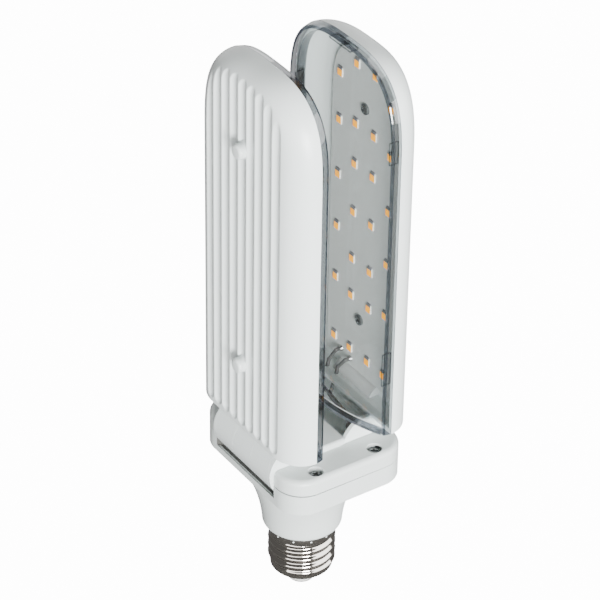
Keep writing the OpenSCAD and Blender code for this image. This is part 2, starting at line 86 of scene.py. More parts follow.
def addPiece(name, points, faces, body, material, node=None, sharp=32, weld=0.004,
             bevel=0, bevelAngle=40):
    # mesh object from millimetre points, welded, faces outwards; node is what it replaces
    mesh = bpy.data.meshes.new(name)
    mesh.from_pydata((np.asarray(points) * mm).tolist(), [], faces)
    bm = bmesh.new()
    bm.from_mesh(mesh)
    if weld:
        bmesh.ops.remove_doubles(bm, verts=bm.verts, dist=weld * mm)
        bmesh.ops.dissolve_degenerate(bm, dist=weld * mm / 2, edges=bm.edges)
    bmesh.ops.recalc_face_normals(bm, faces=bm.faces)
    bm.to_mesh(mesh)
    bm.free()
    obj = bpy.data.objects.new(name, mesh)
    bpy.context.scene.collection.objects.link(obj)
    finish(obj, material, sharp, bevel, bevelAngle=bevelAngle)
    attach(obj, body)
    if node:
        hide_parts(node)
    return obj


def finish(obj, material, sharp=32, bevel=0, segments=2, bevelAngle=40):
    # one material, smooth faces that part at the sharp angle, and rounded edges
    mesh = obj.data
    mesh.materials.clear()
    mesh.materials.append(material)
    mesh.shade_smooth()
    mesh.set_sharp_from_angle(angle=math.radians(sharp))
    if bevel:
        mod = obj.modifiers.new("edges", "BEVEL")
        mod.width = bevel * mm
        mod.segments = segments
        mod.limit_method = "ANGLE"
        mod.angle_limit = math.radians(bevelAngle)
        mod.use_clamp_overlap = True
        mod.harden_normals = True


def mergedCopy(node, name, body, material, reshape, bevel, segments=2):
    # the CAD node's mesh with its triangles welded and its flat areas joined, and then
    # its points moved by reshape
    weld, flat = 0.002, 1.0          # millimetres, degrees
    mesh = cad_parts[node].data.copy()
    bm = bmesh.new()
    bm.from_mesh(mesh)
    bmesh.ops.remove_doubles(bm, verts=bm.verts, dist=weld * mm)
    bmesh.ops.dissolve_limit(bm, angle_limit=math.radians(flat), verts=bm.verts, edges=bm.edges)
    bmesh.ops.recalc_face_normals(bm, faces=bm.faces)
    bm.to_mesh(mesh)
    bm.free()
    points = reshape(meshPoints(mesh)) * mm
    mesh.vertices.foreach_set("co", points.ravel())
    mesh.update()
    new = bpy.data.objects.new(name, mesh)
    bpy.context.scene.collection.objects.link(new)
    finish(new, material, bevel=bevel, segments=segments)
    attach(new, body)
    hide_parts(node)
    return new


leaves = (("left", -1), ("right", 1))


def turned(points, sign):
    # the right leaf's points, or the same turned half round for the left leaf
    return np.asarray(points) * np.array([sign, sign, 1.0])


def shader(name, **values):
    # plain material; each value's name is the shader's socket with _ for a space
    mat = bpy.data.materials.new(name)
    mat.use_nodes = True
    node = mat.node_tree.nodes["Principled BSDF"]
    for key, value in values.items():
        socket = node.inputs[key.replace("_", " ")]
        if socket.type == "RGBA":
            value = (*value, 1.0)
        socket.default_value = value
    return mat


def addGrain(mat, scale, strength, distance, detail=3.0):
    # fine moulded or cast grain from noise on object coordinates; distance in metres
    tree = mat.node_tree
    coords = tree.nodes.new("ShaderNodeTexCoord")
    noise = tree.nodes.new("ShaderNodeTexNoise")
    noise.inputs["Scale"].default_value = scale
    noise.inputs["Detail"].default_value = detail
    bump = tree.nodes.new("ShaderNodeBump")
    bump.inputs["Strength"].default_value = strength
    bump.inputs["Distance"].default_value = distance
    tree.links.new(coords.outputs["Object"], noise.inputs["Vector"])
    tree.links.new(noise.outputs["Fac"], bump.inputs["Height"])
    tree.links.new(bump.outputs["Normal"], tree.nodes["Principled BSDF"].inputs["Normal"])
    return noise


def varyRoughness(mat, noise, low, high):
    # roughness from low to high in a straight line with the noise
    tree = mat.node_tree
    span = tree.nodes.new("ShaderNodeMapRange")
    span.inputs["To Min"].default_value = low
    span.inputs["To Max"].default_value = high
    tree.links.new(noise.outputs["Fac"], span.inputs["Value"])
    tree.links.new(span.outputs["Result"], tree.nodes["Principled BSDF"].inputs["Roughness"])


white = shader("whitePlastic", Base_Color=(0.65, 0.695, 0.685), Roughness=0.36)
addGrain(white, 900, 0.12, 0.0002)
# the same white plastic made darker for the hub: painted shade for the less light it gets
hubWhiteShaded = shader("hubPlasticShaded", Base_Color=(0.55, 0.59, 0.578), Roughness=0.38)
addGrain(hubWhiteShaded, 900, 0.12, 0.0002)
nickel = shader("nickel", Base_Color=(0.50, 0.47, 0.43), Metallic=1.0, Roughness=0.1)
varyRoughness(nickel, addGrain(nickel, 140, 0.05, 0.0001), 0.06, 0.13)
insulator = shader("insulator", Base_Color=(0.80, 0.80, 0.76), Roughness=0.4)
contactMetal = shader("contactMetal", Base_Color=(0.72, 0.71, 0.69), Metallic=1.0, Roughness=0.28)
boardGrey = shader("boardGrey", Base_Color=(0.57, 0.595, 0.58), Roughness=0.42)
varyRoughness(boardGrey, addGrain(boardGrey, 260, 0.15, 0.0002), 0.34, 0.5)
ledWhite = shader("ledWhite", Base_Color=(0.86, 0.85, 0.80), Roughness=0.35)
# orange LED faces with a faint glow: painted light, since the LEDs are off
phosphorGlow = shader("phosphorGlow", Base_Color=(0.95, 0.36, 0.0), Roughness=0.4,
                  Emission_Color=(1.0, 0.38, 0.0), Emission_Strength=1.1)
guardGrey = shader("guardGrey", Base_Color=(0.46, 0.475, 0.465), Roughness=0.45)
ledDark = shader("ledDark", Base_Color=(0.15, 0.15, 0.16), Roughness=0.4)
steelDark = shader("steelDark", Base_Color=(0.16, 0.17, 0.17), Metallic=0.8, Roughness=0.36)
# near black: painted shade for the well under the drums
shade = shader("shade", Base_Color=(0.07, 0.07, 0.065), Roughness=0.6)
tin = shader("tin", Base_Color=(0.34, 0.34, 0.335), Metallic=1.0, Roughness=0.34)
addGrain(tin, 700, 0.3, 0.0004)
leadBlack = shader("leadBlack", Base_Color=(0.07, 0.07, 0.068), Roughness=0.45)
leadRed = shader("leadRed", Base_Color=(0.42, 0.03, 0.02), Roughness=0.4)
green = shader("driverGreen", Base_Color=(0.03, 0.16, 0.07), Roughness=0.35)
black = shader("partBlack", Base_Color=(0.02, 0.02, 0.022), Roughness=0.4)
brown = shader("windingBrown", Base_Color=(0.22, 0.07, 0.03), Roughness=0.3)
blue = shader("fuseBlue", Base_Color=(0.06, 0.17, 0.32), Roughness=0.35)


clearLook = {"gloss": 0.04, "bend": 1.01, "facing": 0.5, "power": 5.0}


def clearPlastic(name, tint, straight, edge=False):
    # thin clear moulding: tinted see-through with a gloss that grows from its share seen
    # straight on with a power of the facing angle; an edge dims the paper's glow
    mat = bpy.data.materials.new(name)
    mat.use_nodes = True
    tree = mat.node_tree
    tree.nodes.remove(tree.nodes["Principled BSDF"])
    through = tree.nodes.new("ShaderNodeBsdfTransparent")
    through.inputs["Color"].default_value = (*tint, 1.0)
    inside = through
    if edge:
        bent = tree.nodes.new("ShaderNodeBsdfRefraction")
        bent.inputs["Color"].default_value = (*tint, 1.0)
        bent.inputs["Roughness"].default_value = 0.0
        bent.inputs["IOR"].default_value = clearLook["bend"]
        path = tree.nodes.new("ShaderNodeLightPath")
        inside = tree.nodes.new("ShaderNodeMixShader")
        tree.links.new(path.outputs["Is Shadow Ray"], inside.inputs["Fac"])
        tree.links.new(bent.outputs["BSDF"], inside.inputs[1])
        tree.links.new(through.outputs["BSDF"], inside.inputs[2])
    gloss = tree.nodes.new("ShaderNodeBsdfGlossy")
    gloss.inputs["Roughness"].default_value = clearLook["gloss"]
    facing = tree.nodes.new("ShaderNodeLayerWeight")
    facing.inputs["Blend"].default_value = clearLook["facing"]
    power = tree.nodes.new("ShaderNodeMath")
    power.operation = "POWER"
    power.inputs[1].default_value = clearLook["power"]
    share = tree.nodes.new("ShaderNodeMath")
    share.operation = "MULTIPLY_ADD"
    share.inputs[1].default_value = 1 - straight
    share.inputs[2].default_value = straight
    mix = tree.nodes.new("ShaderNodeMixShader")
    tree.links.new(facing.outputs["Facing"], power.inputs[0])
    tree.links.new(power.outputs["Value"], share.inputs[0])
    tree.links.new(share.outputs["Value"], mix.inputs["Fac"])
    tree.links.new(inside.outputs[0], mix.inputs[1])
    tree.links.new(gloss.outputs["BSDF"], mix.inputs[2])
    tree.links.new(mix.outputs["Shader"], tree.nodes["Material Output"].inputs["Surface"])
    return mat


clear = clearPlastic("clearPlastic", (0.97, 0.98, 0.98), 0.035)
# the darker tints below are painted shade for the dark look that refraction gives clear walls and
# edges
clearWallShade = clearPlastic("clearWallShade", (0.88, 0.90, 0.91), 0.1, True)
clearInnerShade = clearPlastic("clearInnerShade", (0.42, 0.43, 0.45), 0.06, True)
clearEdgeShade = clearPlastic("clearEdgeShade", (0.26, 0.28, 0.32), 0.1, True)
clearFootShade = clearPlastic("clearFootShade", (0.34, 0.36, 0.39), 0.08, True)
# pale painted highlight for the edges of the window foot's skirt
paintedEdgeHighlight = shader("paintedEdgeHighlight", Base_Color=(0.62, 0.65, 0.67), Roughness=0.2)
print("materials")


leaf = {
    "rimX": 16.65, "backX": 28.0,
    "width": 2 * shellHigh[1], "bottom": windowLow[2], "top": shellHigh[2],
    "arch": 36.0, "power": 3.0, "sideDraw": 12.8, "topDraw": 7.1,
    "wall": 1.2, "rimWall": 1.6, "floor": 1.5,
    "columns": 480, "samples": 4001,
    "skirtTurns": ((0, 58, 15), (60, 90, 26)),     # from, to (degrees) and number of rows
    "innerRows": 10,
    "footRows": (0, 0.8, 1.3, 1.5, 1.65, 1.8, 1.95, 2.15, 2.4, 2.7, 3.05, 3.5, 4.0),
    "sideRows": 14,
}
flute = {"count": 9, "pitch": 5.33, "depth": 1.2, "rib": 0.6, "foot": 1.6, "blend": 0.25,
         "beyond": 4}


def upLeaf(share):
    # height at a share of the leaf's own height
    return leaf["bottom"] + share * (leaf["top"] - leaf["bottom"])


def unitArch(turn):
    # superellipse of half width 1 and height 1 at the polar angle turn
    c, s = np.cos(turn), np.sin(turn)
    r = (np.abs(c) ** leaf["power"] + np.abs(s) ** leaf["power"]) ** (-1 / leaf["power"])
    return c * r, s * r


def evenTurns(width, height, count):
    # polar angles from the left foot to the right foot, evenly spaced along the arch
    turn = np.linspace(math.pi, 0, leaf["samples"])
    u, v = unitArch(turn)
    step = np.hypot(np.diff(u * width / 2), np.diff(v * height))
    length = np.concatenate([[0], np.cumsum(step)])
    return np.interp(np.linspace(0, length[-1], count), length, turn)


def sideFractions():
    # rows up the straight side: close together at the foot for the flutes' ends, then even
    span = leaf["top"] - leaf["arch"] - leaf["bottom"]
    foot = np.array(leaf["footRows"])
    return np.concatenate([foot / span, np.linspace((foot[-1] + 1) / span, 1, leaf["sideRows"])])


turns = evenTurns(leaf["width"] - 2 * leaf["sideDraw"], leaf["arch"] - leaf["topDraw"],
                  leaf["columns"])
fractions = sideFractions()


def archLoop(width, top, arch, bottom):
    # outline as (y, z): up the left side, over the arch and down the right side
    u, v = unitArch(turns)
    start = top - arch
    side = bottom + fractions * (start - bottom)
    y = np.concatenate([np.full(len(side), -width / 2), u[1:-1] * width / 2,
                        np.full(len(side), width / 2)])
    z = np.concatenate([side, start + v[1:-1] * arch, side[::-1]])
    return y, z


def fluteFloor(y, z):
    # distance from the cap axis of the nearest flute: centre line less the chord height
    # at the distance d across it, round at the foot, and far out beyond its radius
    half = (flute["pitch"] - flute["rib"]) / 2
    radius = (half ** 2 + flute["depth"] ** 2) / (2 * flute["depth"])
    last = (flute["count"] - 1) / 2
    near = np.clip(np.round(y / flute["pitch"]), -last, last) * flute["pitch"]
    low = leaf["bottom"] + flute["foot"] + half
    d = np.hypot(y - near, np.maximum(low - z, 0))
    chord = np.sqrt(np.maximum(radius ** 2 - d ** 2, 0))
    return (leaf["backX"] - flute["depth"] + radius - chord
            + flute["beyond"] * np.maximum(d - radius, 0))


def softMin(a, b, k):
    # the smaller of two distances, rounded where they meet
    h = np.maximum(k - np.abs(a - b), 0) / k
    return np.minimum(a, b) - h * h * k / 4


def domeSkin(wall, depthX, bottom, turn, fluted):
    # skirt: a quarter ellipse from the rim to the back; back: a flat grid inside it;
    # where fluted, both are cut off softly at the flutes
    share = depthX / (leaf["backX"] - leaf["rimX"])
    skirt = []
    for q, s in zip(share * (1 - np.cos(turn)), np.sin(turn)):
        y, z = archLoop(leaf["width"] - 2 * wall - 2 * leaf["sideDraw"] * q,
                        leaf["top"] - wall - leaf["topDraw"] * q,
                        leaf["arch"] - wall - leaf["topDraw"] * q, bottom)
        skirt.append(np.stack([np.full(len(y), leaf["rimX"] + depthX * s), y, z], axis=-1))
    skirt = np.stack(skirt)
    width = leaf["width"] - 2 * wall - 2 * leaf["sideDraw"] * share
    top = leaf["top"] - wall - leaf["topDraw"] * share
    arch = leaf["arch"] - wall - leaf["topDraw"] * share
    u, v = unitArch(turns)
    y = np.tile(u * width / 2, (len(fractions), 1))
    z = bottom + fractions[:, None] * (top - arch + v[None, :] * arch - bottom)
    back = np.stack([np.full(y.shape, leaf["rimX"] + depthX), y, z], axis=-1)
    if fluted:
        for grid in (skirt, back):
            grid[..., 0] = softMin(grid[..., 0], fluteFloor(grid[..., 1], grid[..., 2]),
                                   flute["blend"])
    return skirt, back


def stripFaces(a, b):
    # quads between two rows of points of the same count
    points = np.concatenate([a, b])
    return points, quads(2, len(a))


def leafSkin():
    # outer skin with rows close together where the flutes run out, and a plain inner one
    depth = leaf["backX"] - leaf["rimX"]
    turn = np.radians(np.concatenate([np.linspace(*rows) for rows in leaf["skirtTurns"]]))
    innerTurn = np.linspace(0, math.pi / 2, leaf["innerRows"])
    foot = leaf["bottom"] + leaf["floor"]
    outer = domeSkin(0, depth, leaf["bottom"], turn, True)
    inner = domeSkin(leaf["rimWall"], depth - flute["depth"] - leaf["wall"], foot, innerTurn,
                     False)
    parts = [(grid.reshape(-1, 3), quads(*grid.shape[:2])) for grid in (*outer, *inner)]
    parts.append(stripFaces(outer[0][0], inner[0][0]))          # rim
    fronts = []
    for skirt, back in (outer, inner):
        # foot: the section's curve against its own front line
        curve = np.concatenate([skirt[:, 0], back[0, 1:-1], skirt[::-1, -1]])
        front = curve * [0, 1, 1] + [leaf["rimX"], 0, 0]
        parts.append(stripFaces(curve, front))
        fronts.append(front)
    # front face of the floor: one flat face between both front lines
    loop = np.concatenate([fronts[0], fronts[1][::-1]])
    parts.append((loop, [list(range(len(loop)))[::-1]]))
    return joined(parts)


pole = 0.001     # a turned profile ends this close to its axis, and a face closes it


def revolve(profile, centre, axis, steps=48):
    # profile of (radius, height along axis) turned about an axis through centre
    profile = np.asarray(profile, float)
    t = np.arange(steps) * 2 * math.pi / steps
    axis = np.asarray(axis, float)
    side = np.array([0.0, 0.0, 1.0]) if abs(axis[2]) < 0.5 else np.array([1.0, 0.0, 0.0])
    other = np.cross(axis, side)
    ring = np.cos(t)[:, None] * side + np.sin(t)[:, None] * other
    points = (np.asarray(centre) + profile[:, 0, None, None] * ring[None]
              + profile[:, 1, None, None] * axis)
    rows = len(profile)
    faces = quads(rows, steps, loop=True)
    if profile[0, 0] > 0:
        faces.append(list(range(steps))[::-1])
    if profile[-1, 0] > 0:
        faces.append([i + (rows - 1) * steps for i in range(steps)])
    return points.reshape(-1, 3), faces


def rounded(corners, radius, steps=4):
    # open profile with each inner corner rounded by a quadratic curve, which starts and
    # ends a radius away from the corner, but short of the middle of either edge
    corners = np.asarray(corners, float)
    t = np.linspace(0, 1, steps + 1)[:, None]
    most = 0.49
    out = [corners[:1]]
    for a, p, b in zip(corners[:-2], corners[1:-1], corners[2:]):
        la, lb = np.linalg.norm(a - p), np.linalg.norm(b - p)
        r = min(radius, la * most, lb * most)
        start, end = p + (a - p) * r / la, p + (b - p) * r / lb
        out.append((1 - t) ** 2 * start + 2 * t * (1 - t) * p + t * t * end)
    out.append(corners[-1:])
    return np.concatenate(out)


peg = {"radius": 3.0, "reach": shellHigh[0], "seat": 25.9, "heights": (0.192, 0.791),
       "round": 1.2, "flare": 1.0, "skirt": 0.4, "flareLow": 26.9, "flareHigh": 27.6}


def pegs():
    # low screw bosses on the back: a disc's rounded profile with a small flare at its foot
    r, wide = peg["radius"], peg["radius"] + peg["flare"]
    profile = rounded([(wide + peg["skirt"], peg["seat"]), (wide, peg["flareLow"]),
                       (r, peg["flareHigh"]), (r, peg["reach"]), (pole, peg["reach"])],
                      peg["round"])
    return joined([revolve(profile, (0, 0, upLeaf(share)), (1, 0, 0))
                   for share in peg["heights"]])


skinPoints, skinFaces = joined([leafSkin(), pegs()])
for side, sign in leaves:
    addPiece(side + "Skin", turned(skinPoints, sign), skinFaces, side + "_leaf", white,
             side + "_shell", sharp=62)
print("leaf mouldings", len(skinFaces))


hinge = {
    "x": 16.4, "z": 71.1, "radius": 11.6, "hollow": 9.9, "half": 19.3, "inside": 17.6,
    "notchZ": 73.1, "innerNotch": 6.0, "innerNotchZ": 68.1,
    "neckFront": 13.4, "neckBack": 24.0, "slotBack": 21.45, "underWindow": 82.1,
    "pinRadius": 1.8, "pinLong": 4.0, "pinRound": 0.4,
}


def extrude(outline, y0, y1):
    # closed (x, z) outline between two planes across y
    outline = np.asarray(outline, float)
    n = len(outline)
    points = np.concatenate([np.insert(outline, 1, y0, axis=1),
                             np.insert(outline, 1, y1, axis=1)])
    return points, quads(2, n, loop=True) + [list(range(n)), list(range(n, 2 * n))[::-1]]


def hingeArc(radius, start, end, step=3.0):
    # points on a circle about the hinge line, angles in degrees from +x towards +z
    count = max(2, int(abs(end - start) / step) + 1)
    t = np.radians(np.linspace(start, end, count))
    return np.column_stack([hinge["x"] + radius * np.cos(t), hinge["z"] + radius * np.sin(t)])


def angleAtX(radius, x):
    # where a circle about the hinge line meets a given x, above that line
    return math.degrees(math.acos((x - hinge["x"]) / radius))


def angleAtZ(radius, z):
    # where a circle about the hinge line meets a given z, on the side away from the cap
    return math.degrees(math.asin((z - hinge["z"]) / radius))


def drum():
    # outlines of arcs about the hinge line, each carried straight along it
    r, hole, under = hinge["radius"], hinge["hollow"], hinge["underWindow"]
    top = leaf["bottom"] + leaf["floor"] / 2
    backTop, slotTop = (hinge["neckBack"], top), (hinge["slotBack"], top)
    back = angleAtX(r, hinge["neckBack"])
    front = angleAtX(r, hinge["neckFront"])
    # end plates: the full round with the neck above it
    plate = np.vstack([backTop, hingeArc(r, back, front - 360), (hinge["neckFront"], under),
                       (leaf["rimX"], under), (leaf["rimX"], top)])
    # hollow band: from the neck's back wall round the outside to the notch
    slot = angleAtX(hole, hinge["slotBack"])
    outerEnd = -180 - angleAtZ(r, hinge["notchZ"])
    innerEnd = -180 - angleAtZ(hole, hinge["notchZ"])
    band = np.vstack([backTop, hingeArc(r, back, outerEnd), hingeArc(hole, innerEnd, slot),
                      slotTop])
    # the same with the lower inner quarter open for the leads
    middle = np.vstack([backTop, hingeArc(r, back, -90), hingeArc(hole, -90, slot), slotTop])
    # strip left over that opening, beside the notch
    outerLow = -180 - angleAtZ(r, hinge["innerNotchZ"])
    innerLow = -180 - angleAtZ(hole, hinge["innerNotchZ"])
    strip = np.vstack([hingeArc(r, outerLow, outerEnd, 2), hingeArc(hole, innerEnd, innerLow, 2)])
    notch, inside, end = hinge["innerNotch"], hinge["inside"], hinge["half"]
    return [extrude(plate, -end, -inside), extrude(plate, inside, end),
            extrude(band, -inside, -notch), extrude(band, notch, inside),
            extrude(middle, -notch, notch), extrude(strip, -notch, notch)]


def trunnions():
    # round pins on both end plates: a disc's profile with one rounded corner
    r, long = hinge["pinRadius"], hinge["pinLong"]
    profile = rounded([(r, 0), (r, long), (pole, long)], hinge["pinRound"])
    return [revolve(profile, (hinge["x"], s * hinge["half"], hinge["z"]), (0, s, 0), 32)
            for s in (-1, 1)]


for side, sign in leaves:
    points, faces = joined(drum() + trunnions())
    addPiece(side + "Drum", turned(points, sign), faces, side + "_leaf", white,
             side + "_shell", sharp=30, weld=0, bevel=0.25, bevelAngle=50)
print("drums")


# kinds are places in a piece's list of materials, the first of them clear
window = {
    "front": 13.4, "draft": 1.4, "wall": 1.5, "lip": 2.2, "gap": 0.1, "inset": 1.1,
    "edge": 0.35, "shadeBand": 0.8, "margin": 0.9, "joint": 0.02, "jointEdge": 0.22,
    "footPoints": 42, "footClear": 27,
    "bandKinds": (1, 1, 1, 1, 2, 1, 0, 0, 0, 2), "wallBands": (4, 9),
}
ledge = {
    "bow": 7.5, "halfChord": 31.2, "top": 85.8, "thick": 1.4, "skirtLow": 81.9,
    "skirtWall": 1.3, "roundIn": 0.2, "roundDown": 0.15, "points": 61,
    "bandKinds": (0, 2, 1, 2, 1, 0),
}
clip = {
    "sides": ((103, 117), (198, 207)), "top": (-4.2, 8.8), "thick": 0.7, "start": 0.6,
    "deep": 18.4, "tipLong": 0.8, "tipStep": 0.5, "sideInset": 3.3, "topInset": 3.05,
    "faceKinds": (1, 0, 1, 1, 0, 1, 1),
}


def closedLoop(width, top, arch, bottom, x):
    # arch outline closed along the bottom, as points at one x
    y, z = archLoop(width, top, arch, bottom)
    t = np.linspace(1, -1, window["footPoints"])[1:-1]
    y = np.concatenate([y, t * width / 2])
    z = np.concatenate([z, np.full(len(t), bottom)])
    return np.stack([np.full(len(y), x), y, z], axis=-1)


def windowTray():
    # outlines of the leaf's arch, one inside the other, as rings from the front plate's
    # margin round its edge, along the tapered wall and the lip, and back up the inside
    w, top, arch, bottom = leaf["width"], leaf["top"], leaf["arch"], leaf["bottom"]
    front, rim, edge = window["front"], leaf["rimX"], window["edge"]
    half = window["draft"] / 2
    dome = leaf["backX"] - rim
    depth = dome - flute["depth"] - leaf["wall"]
    q = (1 - math.cos(math.asin(window["lip"] / depth))) * depth / dome
    side = leaf["rimWall"] + window["gap"] + leaf["sideDraw"] * q
    over = leaf["rimWall"] + window["gap"] + leaf["topDraw"] * q
    foot = bottom + leaf["floor"] + window["gap"]
    deep = rim + window["lip"]
    inset, joint = window["inset"], window["joint"]
    rings = []

    def ring(x, inside, upper, low):
        # one outline at x, moved in at the sides and at the arch, with its foot at low
        rings.append(closedLoop(w - 2 * inside, top - upper, arch - upper, low, x))

    margin = half + edge + window["margin"]
    ring(front, margin, margin, bottom + edge)
    for across, back in ((1, 0), (0.3, 0.3), (0, 1)):          # rounded front edge
        ring(front + edge * back, half + edge * across, half + edge * across,
             bottom + edge * across)
    for x in (front + window["shadeBand"], rim - window["jointEdge"]):
        taper = half * (rim - x) / (rim - front)
        ring(x, taper, taper, bottom)
    ring(rim - joint, joint, joint, bottom)
    ring(rim - joint, side, over, foot)
    ring(deep, side, over, foot)
    ring(deep, side + inset, over + inset, foot + inset)
    ring(front + window["wall"], side + inset, over + inset, foot + inset)
    rings = np.array(rings)
    rows, cols = rings.shape[:2]
    faces = quads(rows, cols, loop=True)
    faces.append(list(range(cols))[::-1])
    faces.append([i + (rows - 1) * cols for i in range(cols)])
    return rings.reshape(-1, 3), faces


def trayKinds(points, faces):
    # band by band from the front plate's margin: painted dark edge shade in front and at the
    # joint, a wall in greyer painted shade between, darker on the side of positive y, and a
    # clear front and lip; across the foot only the ends get the painted edge shade
    bands = np.array(window["bandKinds"])
    foot, walls = window["footPoints"], list(window["wallBands"])
    around = (len(faces) - 2) // len(bands)
    kinds = np.zeros(len(faces), int)
    grid = kinds[:len(bands) * around].reshape(len(bands), around)
    grid[:, :-foot] = bands[:, None]
    y = points.reshape(len(bands) + 1, around, 3)[walls[0], :, 1]
    grid[walls, :-foot] = np.where(y[:-foot] > 0, 3, 2)
    grid[:walls[0] + 1, -foot:] = np.abs(y[-foot:]) > window["footClear"]
    return kinds


def bowSection(offset):
    # arc in plan through both ends of the chord and the bow's middle, moved in by offset
    c, b = ledge["halfChord"], ledge["bow"]
    radius = (c * c + b * b) / (2 * b)
    centre = window["front"] - b + radius
    reach = math.asin(c / radius)
    t = np.linspace(-reach, reach, ledge["points"])
    r = radius - offset
    return np.stack([centre - r * np.cos(t), r * np.sin(t)], axis=-1)


def windowFoot():
    # ledge with a skirt below its bowed edge, as rows of one closed profile; no row
    # reaches past the tray's front
    seat = window["front"] + window["joint"]
    outer, inner = bowSection(0), bowSection(ledge["skirtWall"])
    flat = np.column_stack([np.full(len(outer), seat), outer[:, 1]])
    high, low = ledge["top"], ledge["skirtLow"]
    under = high - ledge["thick"]
    rows = [np.column_stack([np.minimum(plan[:, 0], seat), plan[:, 1], np.full(len(plan), z)])
            for plan, z in ((flat, high), (bowSection(ledge["roundIn"]), high),
                            (outer, high - ledge["roundDown"]), (outer, low), (inner, low),
                            (inner, under), (flat, under))]
    n, m = len(rows), ledge["points"]
    faces = quads(n, m) + [[(n - 1) * m + i, (n - 1) * m + i + 1, i + 1, i]
                           for i in range(m - 1)]
    faces += [[i * m for i in range(n)], [i * m + m - 1 for i in range(n)][::-1]]
    return np.concatenate(rows), faces


def windowClips():
    # snap tabs along the wall's inner side, two on each side and one at the arch's middle:
    # a thin plate's section, stepped down at its deep end and running out to nothing
    thick, start = clip["thick"], window["front"] + clip["start"]
    tip = clip["deep"] - clip["tipLong"]
    section = np.array([(start, 0), (start, -thick), (tip, -thick),
                        (tip, clip["tipStep"] - thick), (clip["deep"], 0)])
    x, inwards = section[:, 0], section[:, 1]
    n = len(section)
    faces = quads(2, n, loop=True) + [list(range(n)), list(range(n, 2 * n))[::-1]]
    parts = []
    for s in (-1, 1):
        y = s * (leaf["width"] / 2 - clip["sideInset"] + inwards)
        for ends in clip["sides"]:
            parts.append(([np.column_stack([x, y, np.full(n, z)]) for z in ends[::s]], faces))
    z = leaf["top"] - clip["topInset"] + inwards
    parts.append(([np.column_stack([x, np.full(n, y), z]) for y in clip["top"][::-1]], faces))
    return joined(parts)


def addClearPiece(name, surface, side, sign, sharp, others, kinds):
    # one clear piece of a window; kinds says which of its materials each face has
    points, faces = surface
    obj = addPiece(side + name, turned(points, sign), faces, side + "_leaf", clear,
                   side + "_window", sharp=sharp, weld=0)
    for material in others:
        obj.data.materials.append(material)
    rest = np.zeros(len(faces) - len(kinds), int)
    obj.data.polygons.foreach_set("material_index", np.concatenate([kinds, rest]))


for side, sign in leaves:
    tray = windowTray()
    addClearPiece("WindowTray", tray, side, sign, 12, (clearEdgeShade, clearWallShade, clearInnerShade),
                  trayKinds(*tray))
    # clear broad faces on the tabs, darker painted shade at their ends and edges
    clips = windowClips()
    addClearPiece("WindowClips", clips, side, sign, 30, (clearInnerShade,),
                  np.tile(clip["faceKinds"], len(clips[1]) // len(clip["faceKinds"])))
    # clear ledge, a skirt in dark painted shade with pale painted highlights on its edges
    addClearPiece("WindowFoot", windowFoot(), side, sign, 12, (clearFootShade, paintedEdgeHighlight),
                  np.repeat(ledge["bandKinds"], ledge["points"] - 1))
print("windows")


led = {
    "boardX": boardLow[0], "inner": 5.7, "outer": 16.0, "wide": 3.0, "high": 3.5, "thick": 0.5,
    "bodyEdge": 0.08, "lensEdge": 0.04, "markEdge": 0.03, "padEdge": 0.1, "gap": 0.1,
    "innerShares": (0.897, 0.735, 0.623, 0.488, 0.354, 0.247, 0.089),
    "outerShares": (0.842, 0.713, 0.561, 0.413, 0.265, 0.089),
    "rim": 0.12, "rise": 0.05, "lens": 2.6, "padWide": 2.5, "padHigh": 0.6,
}


def ledPlaces():
    # (y, z) of each LED: mirrored columns, each with its own shares of the leaf's height
    columns = ((led["inner"], led["innerShares"]), (led["outer"], led["outerShares"]))
    return [(s * offset, upLeaf(share)) for offset, shares in columns for s in (-1, 1)
            for share in shares]


def padBox(x0, x1, y, z, wide, high, chamfer):
    # low box facing -x with chamfered front edges
    def loop(x, inset):
        # the four corners at x, moved in by inset
        a, b = wide / 2 - inset, high / 2 - inset
        return [(x, y - a, z - b), (x, y + a, z - b), (x, y + a, z + b), (x, y - a, z + b)]

    points = np.array(loop(x1, 0) + loop(x0 + chamfer, 0) + loop(x0, chamfer))
    return points, quads(3, 4, loop=True) + [[3, 2, 1, 0], [8, 9, 10, 11]]


def ledParts():
    # pale package, an orange lens on its front with a painted glow, a dark band on its front
    # above the lens, and a dark pad on the board at its upper end, as chamfered boxes
    bodies, lenses, pads = [], [], []
    high, gap = led["high"] / 2, led["gap"]
    back = led["boardX"]
    front = back - led["thick"]
    raised = front - led["rise"]
    wide = led["wide"] - 2 * led["rim"]
    low = led["rim"] - high
    split = low + led["lens"]
    for y, z in ledPlaces():
        bodies.append(padBox(front, back, y, z, led["wide"], led["high"], led["bodyEdge"]))
        lenses.append(padBox(raised, front, y, z + (low + split) / 2, wide, led["lens"],
                             led["lensEdge"]))
        pads.append(padBox(raised, front + gap, y, z + (split + gap + high) / 2, wide,
                           high - split - gap, led["markEdge"]))
        pads.append(padBox(front + gap, back, y, z + high + led["padHigh"] / 2,
                           led["padWide"], led["padHigh"], led["padEdge"]))
    return bodies, lenses, pads


for side, sign in leaves:
    names = (("LedBodies", ledWhite), ("LedPhosphor", phosphorGlow), ("LedPads", ledDark))
    for (name, material), parts in zip(names, ledParts()):
        points, faces = joined(parts)
        addPiece(side + name, turned(points, sign), faces, side + "_leaf", material,
                 side + "_leds", sharp=20)
print("leds")


screw = {
    "headRadius": 2.3, "headHigh": 1.5, "boardRadius": 2.2, "boardHigh": 1.3,
    "shank": 1.1, "shankLong": 8.5, "boardLong": 4.8, "crossWide": 0.75, "crossLong": 2.7,
    "crossDeep": 0.8, "sideSlope": 0.12, "endSlope": 0.4, "edge": 0.45, "dome": 0.12,
    "lines": (0, 0.3, 0.42, 0.75, 0.95, 1.3, 1.42, 1.7, 1.95, 2.15),     # closer at the cross
    "seat": 71.2, "x": 13.2, "y": 27.6,
    "spin": 25, "spinStep": 31, "boardSpin": 12, "boardSpinStep": 40,     # degrees
}


